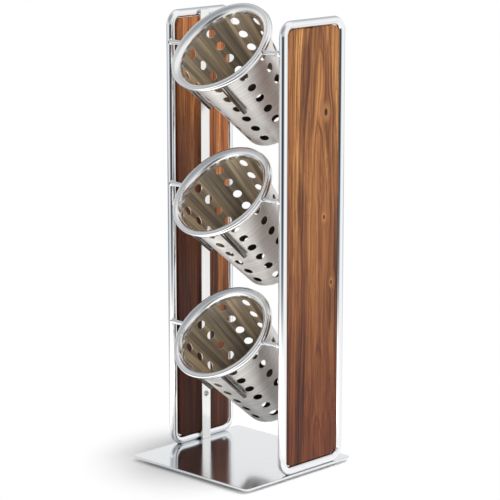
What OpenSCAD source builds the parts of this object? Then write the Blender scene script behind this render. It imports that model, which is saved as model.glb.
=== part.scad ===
// Three-tier countertop holder for flatware cylinders.
// Two rod frames with wooden panels stand on a steel base plate. Between them, wire rings on
// short arms hold perforated cups at a tilt, and each cup pulls out of its ring by hand.
// Millimetres. +Z is up and the mouths of the cups face -Y. The origin is on the table,
// below the middle of the base plate.

/* [Base plate] */
// Width of the base plate, which is also the width over both frames
base_w = 170; // [160:1:240]
// How far the plate runs forward of the frames
front_overhang = 53; // [35:1:90]
// How far the plate runs behind the frames
back_overhang = 13.5; // [8:0.5:40]
// Thickness of the plate
plate_t = 2.5; // [2:0.5:6]
// Radius of the plate's corners
plate_corner_r = 6; // [2:1:12]

/* [Feet] */
// Diameter of a rubber foot where it meets the plate
foot_d = 12; // [8:1:16]
// Height of a rubber foot
foot_h = 3; // [1.5:0.5:6]
// How much narrower a foot is at the table
foot_taper = 2; // [0:0.5:4]
// Distance from the plate's edges to the middle of a foot
foot_inset = 16; // [12:1:30]

/* [Rod frames] */
// Depth of a frame, front to back over the rod
frame_d = 95; // [80:1:130]
// How far a frame rises above the centre of the highest ring
frame_over_ring = 32.8; // [30:0.1:80]
// Diameter of the frame's rod
rod_d = 9; // [7:0.5:12]
// Inside radius of the frame's bends
bend_r = 6.5; // [4:0.5:15]
// Depth of the flat ground on the underside of the frame
seat_flat = 0.4; // [0.2:0.1:0.8]

/* [Wooden panels] */
// Thickness of a panel
panel_t = 6.5; // [5:0.5:9]
// How much rounder the panel's corners are than the frame's bends
panel_corner_ease = 1.5; // [0:0.5:5]
// Radius of the rounding along the panel's edges
panel_edge_r = 0.8; // [0.4:0.1:1.5]

/* [Strips behind the panels] */
// Width of the flat strip that carries a panel
strip_w = 12.7; // [9:0.1:20]
// Thickness of the strip
strip_t = 3; // [2:0.5:5]
// How far the strip stops below the top of its frame
strip_drop = 2; // [1:0.5:4]

/* [Panel screws] */
// Number of screws in each strip
panel_screw_count = 3; // [2:1:5]
// Distance from the strip's ends to the outer screws
panel_screw_margin = 51; // [25:1:90]
// Diameter of the screw's shank
panel_screw_d = 3.5; // [2.5:0.5:4.5]
// Diameter of the screw's head
panel_screw_head_d = 7; // [6:0.5:8.5]
// Height of the screw's head
panel_screw_head_h = 2; // [1.5:0.1:3]
// Wood left in front of the screw's tip
panel_screw_cover = 3; // [1.5:0.5:3.5]
// Length of the cross recess in the head
recess_l = 4.2; // [3:0.1:5]
// Width of the recess's arms
recess_w = 1.2; // [0.8:0.1:1.6]
// Depth of the recess
recess_depth = 1.2; // [0.8:0.1:1.4]

/* [Base screws] */
// Distance from the end of the rod's bend to a screw
base_screw_margin = 7; // [4:0.5:12]
// Diameter of the screw's shank
base_screw_d = 3.5; // [2.5:0.5:4]
// Diameter of the countersunk head
base_screw_head_d = 6.5; // [5:0.5:6.5]
// How far the shank reaches into the rod
base_screw_grip = 5; // [3:0.5:5.5]

/* [Tiers] */
// Angle of the cups' mouths above the horizontal
tilt = 45; // [40:1:55]
// Height of the lowest ring's centre above the plate
first_ring_h = 139.7; // [125:0.1:180]
// How far the rings' centres lie in front of the front rods
ring_forward = 3.2; // [0:0.1:4]
// Diameter of the ring's wire
ring_wire_d = 5.5; // [4.5:0.5:6.5]
// How much thinner than the ring its arms and prongs are
arm_under = 0.3; // [0.1:0.1:1.5]
// How far an arm runs past the inner side of the rod that it is coped to
arm_lap = 1.8; // [1.4:0.1:2.5]
// How far a prong reaches below its ring
prong_len = 50; // [30:1:70]
// Angle from the cup's lowest line to each prong
prong_spread = 32; // [15:1:50]
// How far a cup settles off the middle of its ring
ring_slack = 2; // [0.5:0.1:3]
// Angle up the flare from the wall to where the ring lies
seat_angle = 14; // [10:1:25]

/* [Cups] */
// Depth of a cup from the top of its lip to its underside
cup_len = 123.5; // [110:0.5:135]
// Outer radius of the wall where the lip begins to flare
cup_top_r = 49; // [44:0.5:52]
// Angle by which the wall tapers towards the bottom
cup_taper = 6.5; // [4:0.5:8]
// Thickness of the steel sheet
cup_wall = 1; // [0.8:0.1:1.4]
// Width of the flat between the flare and the bead
lip_flat = 0.5; // [0.2:0.1:2]
// Diameter of the bead along the edge of the lip
bead_d = 3; // [2.5:0.1:4]
// Outer radius of the corner between wall and bottom
cup_corner_r = 6; // [3:0.5:10]

/* [Perforations] */
// Diameter of a hole
hole_d = 9.5; // [6:0.5:12]
// Number of columns of holes round the cup
hole_columns = 10; // [6:1:12]
// Number of rows of holes
hole_rows = 6; // [3:1:6]
// Distance from the flare to the middle of the first row
first_row_drop = 8.7; // [7:0.1:15]
// Distance from the bottom's rounded corner to the middle of the last row
last_row_rise = 11; // [7:0.5:20]
// Number of drain holes round the middle of the bottom
drain_holes = 6; // [4:1:6]
// Distance from the edge of the flat bottom to the middle of a drain hole
drain_inset = 11.4; // [8:0.1:13]

/* [Clearances] */
// Gap between the ring and the flare of a seated cup
seat_gap = 0.3; // [0.2:0.05:0.6]
// Gap between the ring and the bead on the high side of a seated cup
bead_gap = 0.5; // [0.4:0.1:1]
// Gap between the lips when a cup is pulled out past the next one
pass_gap = 3.4; // [1:0.1:40]
// Gap between a panel and the rod around it
panel_gap = 0.5; // [0.3:0.1:1.5]
// Gap round a screw in its hole
screw_gap = 0.1; // [0.05:0.05:0.3]

/* [Hidden] */
TIERS = ["lower", "middle", "upper"];
$fn = 64;
// Extra length that lets a cutter run clear of the face it cuts
cut = 1;
// How far an arc overlaps the straight line that it runs into, so they cross at a clear point
blend = 0.005;

// Ring and lip: on the high side the ring's wire passes bead_gap below the bead. On the low
// side it lies in the hollow of the flare. Together they set the radius of the flare.
ring_wire_r = ring_wire_d / 2;
arm_d = ring_wire_d - arm_under;
ring_depth = bead_d + bead_gap + ring_wire_r;
seat_dir = [-cos(cup_taper + seat_angle), sin(cup_taper + seat_angle)];
flare_r = (ring_depth - cup_wall - (ring_wire_r + seat_gap) * seat_dir[1]) / (1 - seat_dir[1]);

// Section of a cup in radius and height, with the top of the lip at height 0.
// The wall's outer line starts at wall_start and tapers inward as it goes down.
wall_out = [cos(cup_taper), -sin(cup_taper)];
wall_up = [sin(cup_taper), cos(cup_taper)];
wall_start = [cup_top_r, -(flare_r + cup_wall) + flare_r * sin(cup_taper)];
flare_c = wall_start + flare_r * wall_out;
bead_c = [flare_c[0] + lip_flat, blend - bead_d / 2];
rim_r = bead_c[0] + bead_d / 2;
corner_z = -cup_len + cup_corner_r;
corner_c = [cup_top_r + ((corner_z - wall_start[1]) * sin(cup_taper) - cup_corner_r) / cos(cup_taper),
    corner_z];
function wall_r(depth) = cup_top_r - (depth + wall_start[1]) * tan(cup_taper);
first_row = first_row_drop - wall_start[1];
row_pitch = (-corner_z - last_row_rise - first_row) / (hole_rows - 1);
drain_circle_r = corner_c[0] - drain_inset;

// Tiers: a cup slides out along its lowest wall line, so its lip also moves away from the
// next tier, by the tangent of the taper. The tiers lie as close as their lips can then pass.
tier_pitch = (2 * rim_r + pass_gap) / (cos(tilt) + sin(tilt) * tan(cup_taper));
ring_r = flare_c[0] + (flare_r - ring_wire_r - seat_gap) * seat_dir[0] + ring_slack;
// Distance from the cup's axis to the ring's wire at the angle of a prong
prong_reach = sqrt(pow(ring_r, 2) - pow(ring_slack * sin(prong_spread), 2))
    - ring_slack * cos(prong_spread);
// Turn of the holes in each cup, because cups are put back at any angle
cup_turn = [-12, -8, 5];

// Levels and places of the stand
base_d = front_overhang + frame_d + back_overhang;
plate_top = foot_h + plate_t;
frame_y = -base_d / 2 + front_overhang + frame_d / 2;
frame_h = first_ring_h + (len(TIERS) - 1) * tier_pitch + frame_over_ring;
// The rod's loop runs seat_flat below the plate's top before its flat is ground
loop_h = frame_h + seat_flat;
frame_mid_z = plate_top + frame_h - loop_h / 2;
rod_x = base_w / 2 - rod_d / 2;
rod_bend_r = bend_r + rod_d / 2;
front_rod_y = frame_y - frame_d / 2 + rod_d / 2;
ring_y = front_rod_y - ring_forward;
// Inner side of the rods, where the panel and its strip meet
seat_x = rod_x - rod_d / 2;
arm_end_x = seat_x + arm_lap;
strip_h = frame_h - strip_drop;
// Distance from the middle of a frame to its base screws
base_screw_y = frame_d / 2 - rod_d - bend_r - base_screw_margin;
base_screw_cone_h = (base_screw_head_d - base_screw_d) / 2;

// Panel outline inside the rod
panel_w = frame_d - 2 * rod_d - 2 * panel_gap;
panel_h = loop_h - 2 * rod_d - 2 * panel_gap;
panel_corner_r = bend_r + panel_corner_ease;
panel_screw_grip = panel_t - panel_screw_cover;
// Heights of the panel screws, shared out between the two outer ones
panel_screw_step = (strip_h - 2 * panel_screw_margin) / (panel_screw_count - 1);
panel_screw_zs = [for (i = [0:panel_screw_count - 1])
    plate_top + panel_screw_margin + i * panel_screw_step];

// Centre of a ring, without its tilt
module at_ring(i) {
    translate([0, ring_y, plate_top + first_ring_h + i * tier_pitch]) children();
}

// Frame of a tier: the ring's centre, with +Z out of the cup's mouth and -Y its low side
module on_tier(i) {
    at_ring(i) rotate([90 - tilt, 0, 0]) children();
}

// Frame of one side, in which +X is outward on both sides
module on_side(side) {
    mirror([side < 0 ? 1 : 0, 0, 0]) children();
}

// Upright plane of a frame: the drawing's X runs back and its Y runs up
module in_frame_plane(x) {
    translate([x, frame_y, frame_mid_z]) rotate([90, 0, 90]) children();
}

module rounded_rect(w, h, r) {
    square([w - 2 * r, h], center = true);
    square([w, h - 2 * r], center = true);
    for (sx = [-1, 1], sy = [-1, 1])
        translate([sx * (w / 2 - r), sy * (h / 2 - r)]) circle(r);
}

// Closed loop of round rod in the XY plane, w by h over the rod
module rod_loop(w, h, mid_r, d) {
    straight_x = w / 2 - d / 2 - mid_r;
    straight_y = h / 2 - d / 2 - mid_r;
    for (s = [-1, 1]) {
        translate([s * (w - d) / 2, 0, 0])
            rotate([90, 0, 0]) cylinder(d = d, h = 2 * straight_y, center = true);
        translate([0, s * (h - d) / 2, 0])
            rotate([0, 90, 0]) cylinder(d = d, h = 2 * straight_x, center = true);
    }
    for (i = [0:3])
        translate([(i == 0 || i == 3 ? 1 : -1) * straight_x, (i < 2 ? 1 : -1) * straight_y, 0])
            rotate([0, 0, 90 * i])
                rotate_extrude(angle = 90) translate([mid_r, 0]) circle(d = d);
}

module base_screw_places(side) {
    for (s = [-1, 1])
        translate([side * rod_x, frame_y + s * base_screw_y, 0]) children();
}

// Countersunk screw standing on its head, grown by a gap, with extra length at its head
module countersunk_shape(gap, extra) {
    translate([0, 0, foot_h - extra])
        cylinder(d = base_screw_d + 2 * gap, h = extra + plate_t + base_screw_grip + gap);
    translate([0, 0, foot_h])
        cylinder(d1 = base_screw_head_d + 2 * gap, d2 = base_screw_d + 2 * gap, h = base_screw_cone_h);
    if (extra > 0)
        translate([0, 0, foot_h - extra]) cylinder(d = base_screw_head_d + 2 * gap, h = extra);
}

module base_plate() {
    color("gainsboro")
        difference() {
            translate([0, 0, foot_h])
                linear_extrude(plate_t) rounded_rect(base_w, base_d, plate_corner_r);
            for (side = [-1, 1]) base_screw_places(side) countersunk_shape(screw_gap, cut);
        }
}

module rubber_feet() {
    color("dimgray")
        for (sx = [-1, 1], sy = [-1, 1])
            translate([sx * (base_w / 2 - foot_inset), sy * (base_d / 2 - foot_inset), 0])
                cylinder(d1 = foot_d - foot_taper, d2 = foot_d, h = foot_h);
}

module base_screws() {
    color("silver")
        for (side = [-1, 1]) base_screw_places(side) countersunk_shape(0, 0);
}

module rod_frame(side) {
    color("lightgray")
        difference() {
            in_frame_plane(side * rod_x) rod_loop(frame_d, loop_h, rod_bend_r, rod_d);
            translate([side * rod_x, frame_y, plate_top - rod_d])
                cube([2 * rod_d, 2 * frame_d, 2 * rod_d], center = true);
            base_screw_places(side) countersunk_shape(screw_gap, cut);
        }
}

// Screw frame: the strip's inner face at height 0, with +Z into the panel
module panel_screw_places(side) {
    for (z = panel_screw_zs)
        on_side(side) translate([seat_x - strip_t, frame_y, z]) rotate([0, 90, 0]) children();
}

module panel_screw_shank(gap) {
    cylinder(d = panel_screw_d + 2 * gap, h = strip_t + panel_screw_grip + gap);
}

// The panel's inner face is level with the inner side of the rods
module wood_panel(side) {
    edge_d = 2 * panel_edge_r;
    color("saddlebrown")
        difference() {
            on_side(side) in_frame_plane(seat_x) {
                translate([0, 0, panel_edge_r])
                    linear_extrude(panel_t - edge_d) rounded_rect(panel_w, panel_h, panel_corner_r);
                linear_extrude(panel_t)
                    rounded_rect(panel_w - edge_d, panel_h - edge_d, panel_corner_r - panel_edge_r);
                for (z = [panel_edge_r, panel_t - panel_edge_r])
                    translate([0, 0, z])
                        rod_loop(panel_w, panel_h, panel_corner_r - panel_edge_r, edge_d);
            }
            panel_screw_places(side) panel_screw_shank(screw_gap);
        }
}

module back_strip(side) {
    color("whitesmoke")
        difference() {
            on_side(side)
                translate([seat_x - strip_t, frame_y - strip_w / 2, plate_top])
                    cube([strip_t, strip_w, strip_h]);
            panel_screw_places(side)
                translate([0, 0, -cut])
                    cylinder(d = panel_screw_d + 2 * screw_gap, h = strip_t + 2 * cut);
        }
}

// Domed head: a slice of a ball, with a cross recess
module panel_screws(side) {
    ball_r = (pow(panel_screw_head_d / 2, 2) + pow(panel_screw_head_h, 2)) / (2 * panel_screw_head_h);
    color("silver")
        panel_screw_places(side) {
            panel_screw_shank(0);
            difference() {
                intersection() {
                    translate([0, 0, ball_r - panel_screw_head_h]) sphere(ball_r);
                    translate([0, 0, -panel_screw_head_h])
                        cylinder(d = 2 * panel_screw_head_d, h = panel_screw_head_h);
                }
                for (a = [0, 90])
                    rotate([0, 0, a])
                        translate([0, 0, -panel_screw_head_h])
                            cube([recess_l, recess_w, 2 * recess_depth], center = true);
            }
        }
}

module ring_body(i) {
    on_tier(i) rotate_extrude() translate([ring_r, 0]) circle(d = ring_wire_d);
}

module tier_ring(i) {
    color("lightgray") ring_body(i);
}

// Straight arm from the ring to the front rod, coped to both
module tier_arm(i, side) {
    color("lightgray")
        difference() {
            at_ring(i)
                on_side(side)
                    translate([ring_r, 0, 0])
                        rotate([0, 90, 0]) cylinder(d = arm_d, h = arm_end_x - ring_r);
            ring_body(i);
            translate([side * rod_x, front_rod_y, plate_top])
                cylinder(d = rod_d, h = frame_h);
        }
}

// Round prong from the ring down along the slope of the cup's wall
module tier_prong(i, side) {
    color("lightgray")
        difference() {
            on_tier(i)
                translate([0, -ring_slack, 0])
                    rotate([0, 0, side * prong_spread])
                        translate([0, -prong_reach, 0])
                            rotate([cup_taper, 0, 0])
                                translate([0, 0, -prong_len]) cylinder(d = arm_d, h = prong_len);
            ring_body(i);
        }
}

// Filled half section of the cup's outside, or with inset = cup_wall of its hollow
module cup_filled(inset, top) {
    corner_r = cup_corner_r - inset;
    wall_top = wall_start - inset * wall_out + flare_r * wall_up;
    flare_in = flare_c - 2 * flare_r * wall_out;
    polygon([[0, -cup_len + inset], [corner_c[0], -cup_len + inset], corner_c,
        corner_c + corner_r * wall_out, wall_top, [0, wall_top[1]]]);
    translate(corner_c) circle(corner_r + blend);
    difference() {
        polygon([[0, flare_in[1]], flare_in, flare_c, [flare_c[0], top], [0, top]]);
        translate(flare_c) circle(flare_r + inset + blend);
    }
}

// Half section of the cup's sheet, with the flat lip and the bead along its edge
module cup_section() {
    difference() {
        union() {
            cup_filled(0, 0);
            translate([flare_c[0] - cup_wall, -cup_wall]) square([cup_wall + lip_flat, cup_wall]);
            translate(bead_c) circle(d = bead_d);
        }
        cup_filled(cup_wall, cut);
    }
}

module cup_holes(turn) {
    for (row = [0:hole_rows - 1], column = [0:hole_columns - 1]) {
        depth = first_row + row * row_pitch;
        rotate([0, 0, turn + column * 360 / hole_columns])
            translate([wall_r(depth) - hole_d / 2, 0, -depth])
                rotate([0, 90, 0]) cylinder(d = hole_d, h = hole_d);
    }
    translate([0, 0, -cup_len - cut]) {
        cylinder(d = hole_d, h = cup_wall + 2 * cut);
        for (i = [0:drain_holes - 1])
            rotate([0, 0, turn + i * 360 / drain_holes])
                translate([drain_circle_r, 0, 0]) cylinder(d = hole_d, h = cup_wall + 2 * cut);
    }
}

module cup(i) {
    color("silver")
        on_tier(i)
            translate([0, -ring_slack, ring_depth])
                difference() {
                    rotate_extrude() cup_section();
                    cup_holes(cup_turn[i]);
                }
}

base_plate();
rubber_feet();
base_screws();
for (side = [-1, 1]) {
    hand = side < 0 ? "left_" : "right_";
    rod_frame(side);
    wood_panel(side);
    back_strip(side);
    panel_screws(side);
    for (i = [0:len(TIERS) - 1]) {
        tier_arm(i, side);
        tier_prong(i, side);
    }
}
for (i = [0:len(TIERS) - 1]) {
    tier_ring(i);
    cup(i);
}
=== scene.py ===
# %% [markdown]
# # A flatware holder with three tilted cups
# Two chrome rod frames stand on a polished plate and hold wooden panels between their rods.
# Wire rings on short arms carry three perforated steel cups, each tilted toward the guest.
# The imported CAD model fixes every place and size. This lesson gives each piece the smooth
# surface and the finish that a camera sees.

import bmesh
import bpy
import numpy as np
from mathutils import Matrix, Vector


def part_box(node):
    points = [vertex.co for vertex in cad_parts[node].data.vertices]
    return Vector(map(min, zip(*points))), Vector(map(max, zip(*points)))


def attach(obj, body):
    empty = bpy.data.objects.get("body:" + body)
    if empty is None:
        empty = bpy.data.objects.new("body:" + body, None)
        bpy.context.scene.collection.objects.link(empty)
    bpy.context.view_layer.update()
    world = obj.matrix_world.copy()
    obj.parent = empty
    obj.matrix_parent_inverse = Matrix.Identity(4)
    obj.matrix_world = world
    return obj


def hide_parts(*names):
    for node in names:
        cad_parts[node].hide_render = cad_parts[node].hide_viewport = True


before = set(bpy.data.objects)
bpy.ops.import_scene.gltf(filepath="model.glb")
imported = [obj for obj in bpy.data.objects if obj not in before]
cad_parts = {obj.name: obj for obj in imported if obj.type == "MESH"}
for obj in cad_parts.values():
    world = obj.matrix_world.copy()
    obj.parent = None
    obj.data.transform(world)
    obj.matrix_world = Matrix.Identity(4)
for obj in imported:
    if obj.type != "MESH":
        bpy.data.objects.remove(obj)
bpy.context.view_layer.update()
MM = 0.001

# %% [markdown]
# Nearly everything here is a profile carried along a path: a round rod bent into a frame, a wire
# rolled into a ring, the edge of a plate, or the wall of a cup turned about its axis. One
# function covers them all. A path needs only its points and the directions that face outward.

# %% Profiles along paths
def circle_path(radius, steps):
    """Points and outward directions of a circle in its own plane."""
    angle = np.linspace(0, 2 * np.pi, steps, endpoint=False)
    out = np.stack([np.cos(angle), np.sin(angle)], -1)
    return radius * out, out


def rounded_rectangle(width, height, radius, steps):
    """Points and outward directions of a rectangle whose corners are quarter circles."""
    angle = np.linspace(0, np.pi / 2, steps + 1) + np.arange(4)[:, None] * np.pi / 2
    out = np.stack([np.cos(angle), np.sin(angle)], -1)
    corners = np.array([[1, 1], [-1, 1], [-1, -1], [1, -1]])
    middles = corners * [width / 2 - radius, height / 2 - radius]
    return (middles[:, None] + radius * out).reshape(-1, 2), out.reshape(-1, 2)


def sweep(path, section):
    """A section carried round a path: its point (u, w) goes u outward and w across the plane."""
    points, out = path
    flat = points[:, None] + out[:, None] * section[None, :, :1]
    across = np.broadcast_to(section[:, 1:], (len(points), len(section), 1))
    return np.concatenate([flat, across], -1)


def arc(middle, radius, start, end, steps):
    """Points of an arc between two angles in degrees."""
    angle = np.radians(np.linspace(start, end, steps + 1))
    return np.asarray(middle) + radius * np.stack([np.cos(angle), np.sin(angle)], -1)


ROD_STEPS = 48      # points round a rod's section
rod_section = arc((0, 0), 1, 0, 360, ROD_STEPS)[:-1]
print("the section of a rod has", len(rod_section), "points")

# %% [markdown]
# A surface is a grid of points, or a stack of such grids. Meeting points of a piece's surfaces
# are merged, so the piece becomes one closed skin, and its faces are turned outward. Edges
# sharper than 40 degrees stay crisp, and everything gentler is shaded smooth.

# %% Pieces from surfaces
MERGE = 2e-6        # metres within which points are one
CRISP = np.radians(40)
finish_of = {}


def grid_faces(grid, close_rows, close_columns):
    """Quads between neighbouring points of each grid in a stack, counted row by row."""
    rows, columns = grid.shape[-3:-1]
    r, c = np.meshgrid(np.arange(rows - (not close_rows)), np.arange(columns - (not close_columns)),
                       indexing="ij")
    r2, c2 = (r + 1) % rows, (c + 1) % columns
    quads = np.stack([r * columns + c, r2 * columns + c, r2 * columns + c2, r * columns + c2], -1)
    stack = grid.size // (3 * rows * columns)
    return (quads.reshape(-1, 4) + np.arange(stack)[:, None, None] * rows * columns).reshape(-1, 4)


def make_piece(name, body, node, slot, *surfaces, fill=False):
    """A mesh object for one CAD node, from (grid, close_rows, close_columns) surfaces in mm."""
    points = np.concatenate([grid.reshape(-1, 3) for grid, _, _ in surfaces])
    starts = np.cumsum([0] + [grid.size // 3 for grid, _, _ in surfaces])
    quads = np.concatenate([grid_faces(*s) + start for s, start in zip(surfaces, starts)])
    mesh = bpy.data.meshes.new(name)
    mesh.from_pydata((points * MM).tolist(), [], quads.tolist())
    shape = bmesh.new()
    shape.from_mesh(mesh)
    bmesh.ops.remove_doubles(shape, verts=shape.verts, dist=MERGE)
    if fill:
        rims = [edge for edge in shape.edges if edge.is_boundary]
        bmesh.ops.triangle_fill(shape, use_beauty=True, edges=rims)
    bmesh.ops.recalc_face_normals(shape, faces=shape.faces)
    open_edges = sum(not edge.is_manifold for edge in shape.edges)
    shape.to_mesh(mesh)
    shape.free()
    mesh.polygons.foreach_set("use_smooth", np.ones(len(mesh.polygons), bool))
    mesh.set_sharp_from_angle(angle=CRISP)
    piece = bpy.data.objects.new(name, mesh)
    bpy.context.scene.collection.objects.link(piece)
    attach(piece, body)
    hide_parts(node)
    finish_of[piece] = slot
    print(name, len(mesh.polygons), "faces,", open_edges, "open edges")
    return piece


# %% [markdown]
# Each frame is one length of round rod bent into a tall loop and welded shut. A circle carried
# round a rounded rectangle gives it exactly. The underside is ground a little flat where it
# stands on the plate, so points below the plate's top are lifted to it.

# %% Rod frames
ROD_BEND = 6.5      # inside radius of the bends
BEND_STEPS = 20
SEAT_FLAT = 0.4     # depth of the ground flat
SIDES = ("left", "right")


def box_mm(node):
    """Lowest and highest corner of a CAD node, in millimetres."""
    return [np.array(corner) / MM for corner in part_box(node)]


plate_low, plate_high = box_mm("base_plate")
for side in SIDES:
    low, high = box_mm(side + "_frame")
    rod_d = high[0] - low[0]
    low[2] -= SEAT_FLAT
    depth, height = (high - low)[1:] - rod_d
    path = rounded_rectangle(depth, height, ROD_BEND + rod_d / 2, BEND_STEPS)
    loop = sweep(path, rod_section * rod_d / 2)[..., [2, 0, 1]] + (low + high) / 2
    loop[..., 2] = np.maximum(loop[..., 2], plate_high[2])
    make_piece(side + "_rod_frame", "stand", side + "_frame", "chrome", (loop, True, True))

# %% [markdown]
# A tier is a ring of thinner wire, rolled and welded, that leans back by 45 degrees. A circle
# carried round a circle gives it. A tier's own frame has +Z out of the cup's mouth and -Y toward
# its low side, and three axes turn that frame into the stand's.

# %% Rings
TIERS = ("lower", "middle", "upper")
WIRE_R = 2.75
RING_STEPS = 160
half = np.sqrt(0.5)
TIER_AXES = np.array([[1, 0, 0], [0, half, half], [0, -half, half]])
ring_at = {}

for tier in TIERS:
    low, high = box_mm(tier + "_ring")
    ring_r = high[0] - WIRE_R
    ring_at[tier] = (low + high) / 2
    ring = sweep(circle_path(ring_r, RING_STEPS), rod_section * WIRE_R) @ TIER_AXES
    make_piece(tier + "_wire_ring", "stand", tier + "_ring", "chrome",
               (ring + ring_at[tier], True, True))

# %% [markdown]
# A short arm joins each side of a ring to the front rod of a frame. It is welded into the ring's
# wire. Where it meets the thicker rod, a small hollow fillet of filler follows the rod's round
# side, so the end of the arm is cut to a saddle rather than flat.

# %% Arms
ARM_R = 2.6
ARM_STEPS = 40      # points round an arm or a prong
FILLET = 0.9        # reach of the brazed fillet
FILLET_STEPS = 8


def fillet(distance):
    """Extra radius of a hollow quarter-circle fillet at a distance along a rod from its joint."""
    left = np.clip(1 - distance / FILLET, 0, 1)
    return FILLET * (1 - np.sqrt(1 - left ** 2))


def arm(rod_x):
    """A rod along X from the ring's wire: each line of it ends where it meets a round rod at rod_x,
    at rod_x less the root of the rod's radius squared less the line's own distance squared."""
    braze = np.linspace(FILLET, 0, FILLET_STEPS)
    radius = np.concatenate([[0, ARM_R], ARM_R + fillet(braze), [0]])
    rod = sweep(circle_path(0, ARM_STEPS), np.stack([radius, 0 * radius], -1))[..., [2, 0, 1]]
    meets = rod_x - np.sqrt((rod_d / 2) ** 2 - rod[:, 2:-1, 1] ** 2)
    rod[:, :2, 0] = ring_r
    rod[:, 2:-1, 0] = meets - braze
    rod[:, -1, 0] = rod_x
    return rod


low, high = box_mm("right_frame")
arm_rod = arm((low + high)[0] / 2)
for tier in TIERS:
    for side, sign in zip(SIDES, (-1, 1)):
        make_piece(tier + "_" + side + "_brazed_arm", "stand", tier + "_" + side + "_arm", "chrome",
                   (arm_rod * [sign, 1, 1] + ring_at[tier], True, False))

# %% [markdown]
# Two prongs under each ring steady the cup. They are cut from the same rod as the arms, with a
# tumbled tip, and lie along the tapered wall on either side of its lowest line.

# %% Prongs
PRONG_LEN, PRONG_TIP = 50, 0.6
PRONG_SPREAD = np.radians(32)       # from the cup's lowest line
CUP_TAPER = np.radians(6.5)
RING_SLACK = 2                      # how far a cup settles off the ring's middle
EDGE_STEPS = 6                      # about so many steps over a small rounded edge


def turned(points, angle, axis):
    """Points turned by an angle about X (axis 0) or Z (axis 2)."""
    first, second = (1, 2) if axis == 0 else (0, 1)
    out = points.copy()
    out[..., first] = points[..., first] * np.cos(angle) - points[..., second] * np.sin(angle)
    out[..., second] = points[..., first] * np.sin(angle) + points[..., second] * np.cos(angle)
    return out


tip = arc((ARM_R - PRONG_TIP, PRONG_TIP - PRONG_LEN), PRONG_TIP, 0, -90, EDGE_STEPS)
profile = np.concatenate([[[0, 0], [ARM_R, 0]], tip, [[0, -PRONG_LEN]]])
prong_reach = np.sqrt(ring_r ** 2 - (RING_SLACK * np.sin(PRONG_SPREAD)) ** 2)
prong_reach -= RING_SLACK * np.cos(PRONG_SPREAD)
prong = turned(sweep(circle_path(0, ARM_STEPS), profile), CUP_TAPER, 0) - [0, prong_reach, 0]
for tier in TIERS:
    for side, sign in zip(SIDES, (-1, 1)):
        rod = (turned(prong, sign * PRONG_SPREAD, 2) - [0, RING_SLACK, 0]) @ TIER_AXES
        make_piece(tier + "_" + side + "_brazed_prong", "stand", tier + "_" + side + "_prong", "chrome",
                   (rod + ring_at[tier], True, False))

# %% [markdown]
# A cup is deep-drawn from one disc of steel: a tapered wall, a flared lip with a bead rolled
# along its edge, and a rounded corner at the bottom. The holes are punched afterwards. Cutting
# them with Booleans would leave long thin faces, so each hole sits in its own cell of the wall. The
# cell's surface runs from its border over the slightly rounded edge of the hole, through the
# sheet, and back to the border on the inside.

# %% Punched sheet
CUP_WALL = 1
HOLE_R = 4.75
HOLE_EDGE = 0.25    # rounding left by the punch
PUNCH_STEPS = 3     # steps over that rounding
LANES = np.array([1, 0.6, 0.3, 0.08, 0])    # rings of a cell, as shares of the way to its border


def cell_border(across, upright):
    """Places round the square from -1 to 1, counter-clockwise, with so many steps along its sides."""
    a = np.linspace(-1, 1, across, endpoint=False)
    u = np.linspace(-1, 1, upright, endpoint=False)
    sides = [(a, 0 * a - 1), (0 * u + 1, u), (-a, 0 * a + 1), (0 * u - 1, -u)]
    return np.concatenate([np.stack(side, -1) for side in sides])


def punched(border):
    """Surface round a hole: straight lines from the border to the hole's edge, a quarter circle
    over the edge, and the same mirrored on the inside. Gives places and depths in the sheet."""
    outward = border / np.linalg.norm(border, axis=-1, keepdims=True)
    rim = HOLE_R + HOLE_EDGE
    turn = np.linspace(0, np.pi / 2, PUNCH_STEPS + 1)[1:]
    share = np.concatenate([LANES, 0 * turn])
    radius = np.concatenate([rim + 0 * LANES, rim - HOLE_EDGE * np.sin(turn)])
    depth = np.concatenate([0 * LANES, HOLE_EDGE * (1 - np.cos(turn))])
    share = np.concatenate([share, share[::-1]])
    radius = np.concatenate([radius, radius[::-1]])
    depth = np.concatenate([depth, CUP_WALL - depth[::-1]])
    places = outward[..., None, :] * radius[:, None]
    places = places + (border - rim * outward)[..., None, :] * share[:, None]
    return places, depth


CELL_UPRIGHT = 6    # steps up the side of a cell
print("a cell has", len(punched(cell_border(1, CELL_UPRIGHT))[1]), "rings of points round its hole")

# %% [markdown]
# The wall of the cup follows from a few sizes: its top radius, its taper, the sheet and the
# corner. The rows of holes are spread evenly between the flare and the corner, and the cells meet
# half way between the rows.

# %% Wall of a cup
CUP_LEN, CUP_TOP_R, CORNER_R = 123.5, 49, 6
FLARE_R = 6.4357
HOLE_ROWS, HOLE_COLUMNS = 6, 10
FIRST_ROW_DROP, LAST_ROW_RISE = 8.7, 11
CELL_REACH = 7      # sheet kept in the cells beyond the first and last rows
ROUND = 120         # steps round the cup
taper_deg = np.degrees(CUP_TAPER)
wall_out = np.array([np.cos(CUP_TAPER), -np.sin(CUP_TAPER)])
wall_start = np.array([CUP_TOP_R, FLARE_R * np.sin(CUP_TAPER) - FLARE_R - CUP_WALL])
wall_across = CUP_WALL / np.cos(CUP_TAPER)


def wall_r(z):
    """Outer radius of the wall at a height, which is negative below the lip's top."""
    return CUP_TOP_R + (z - wall_start[1]) * np.tan(CUP_TAPER)


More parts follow.
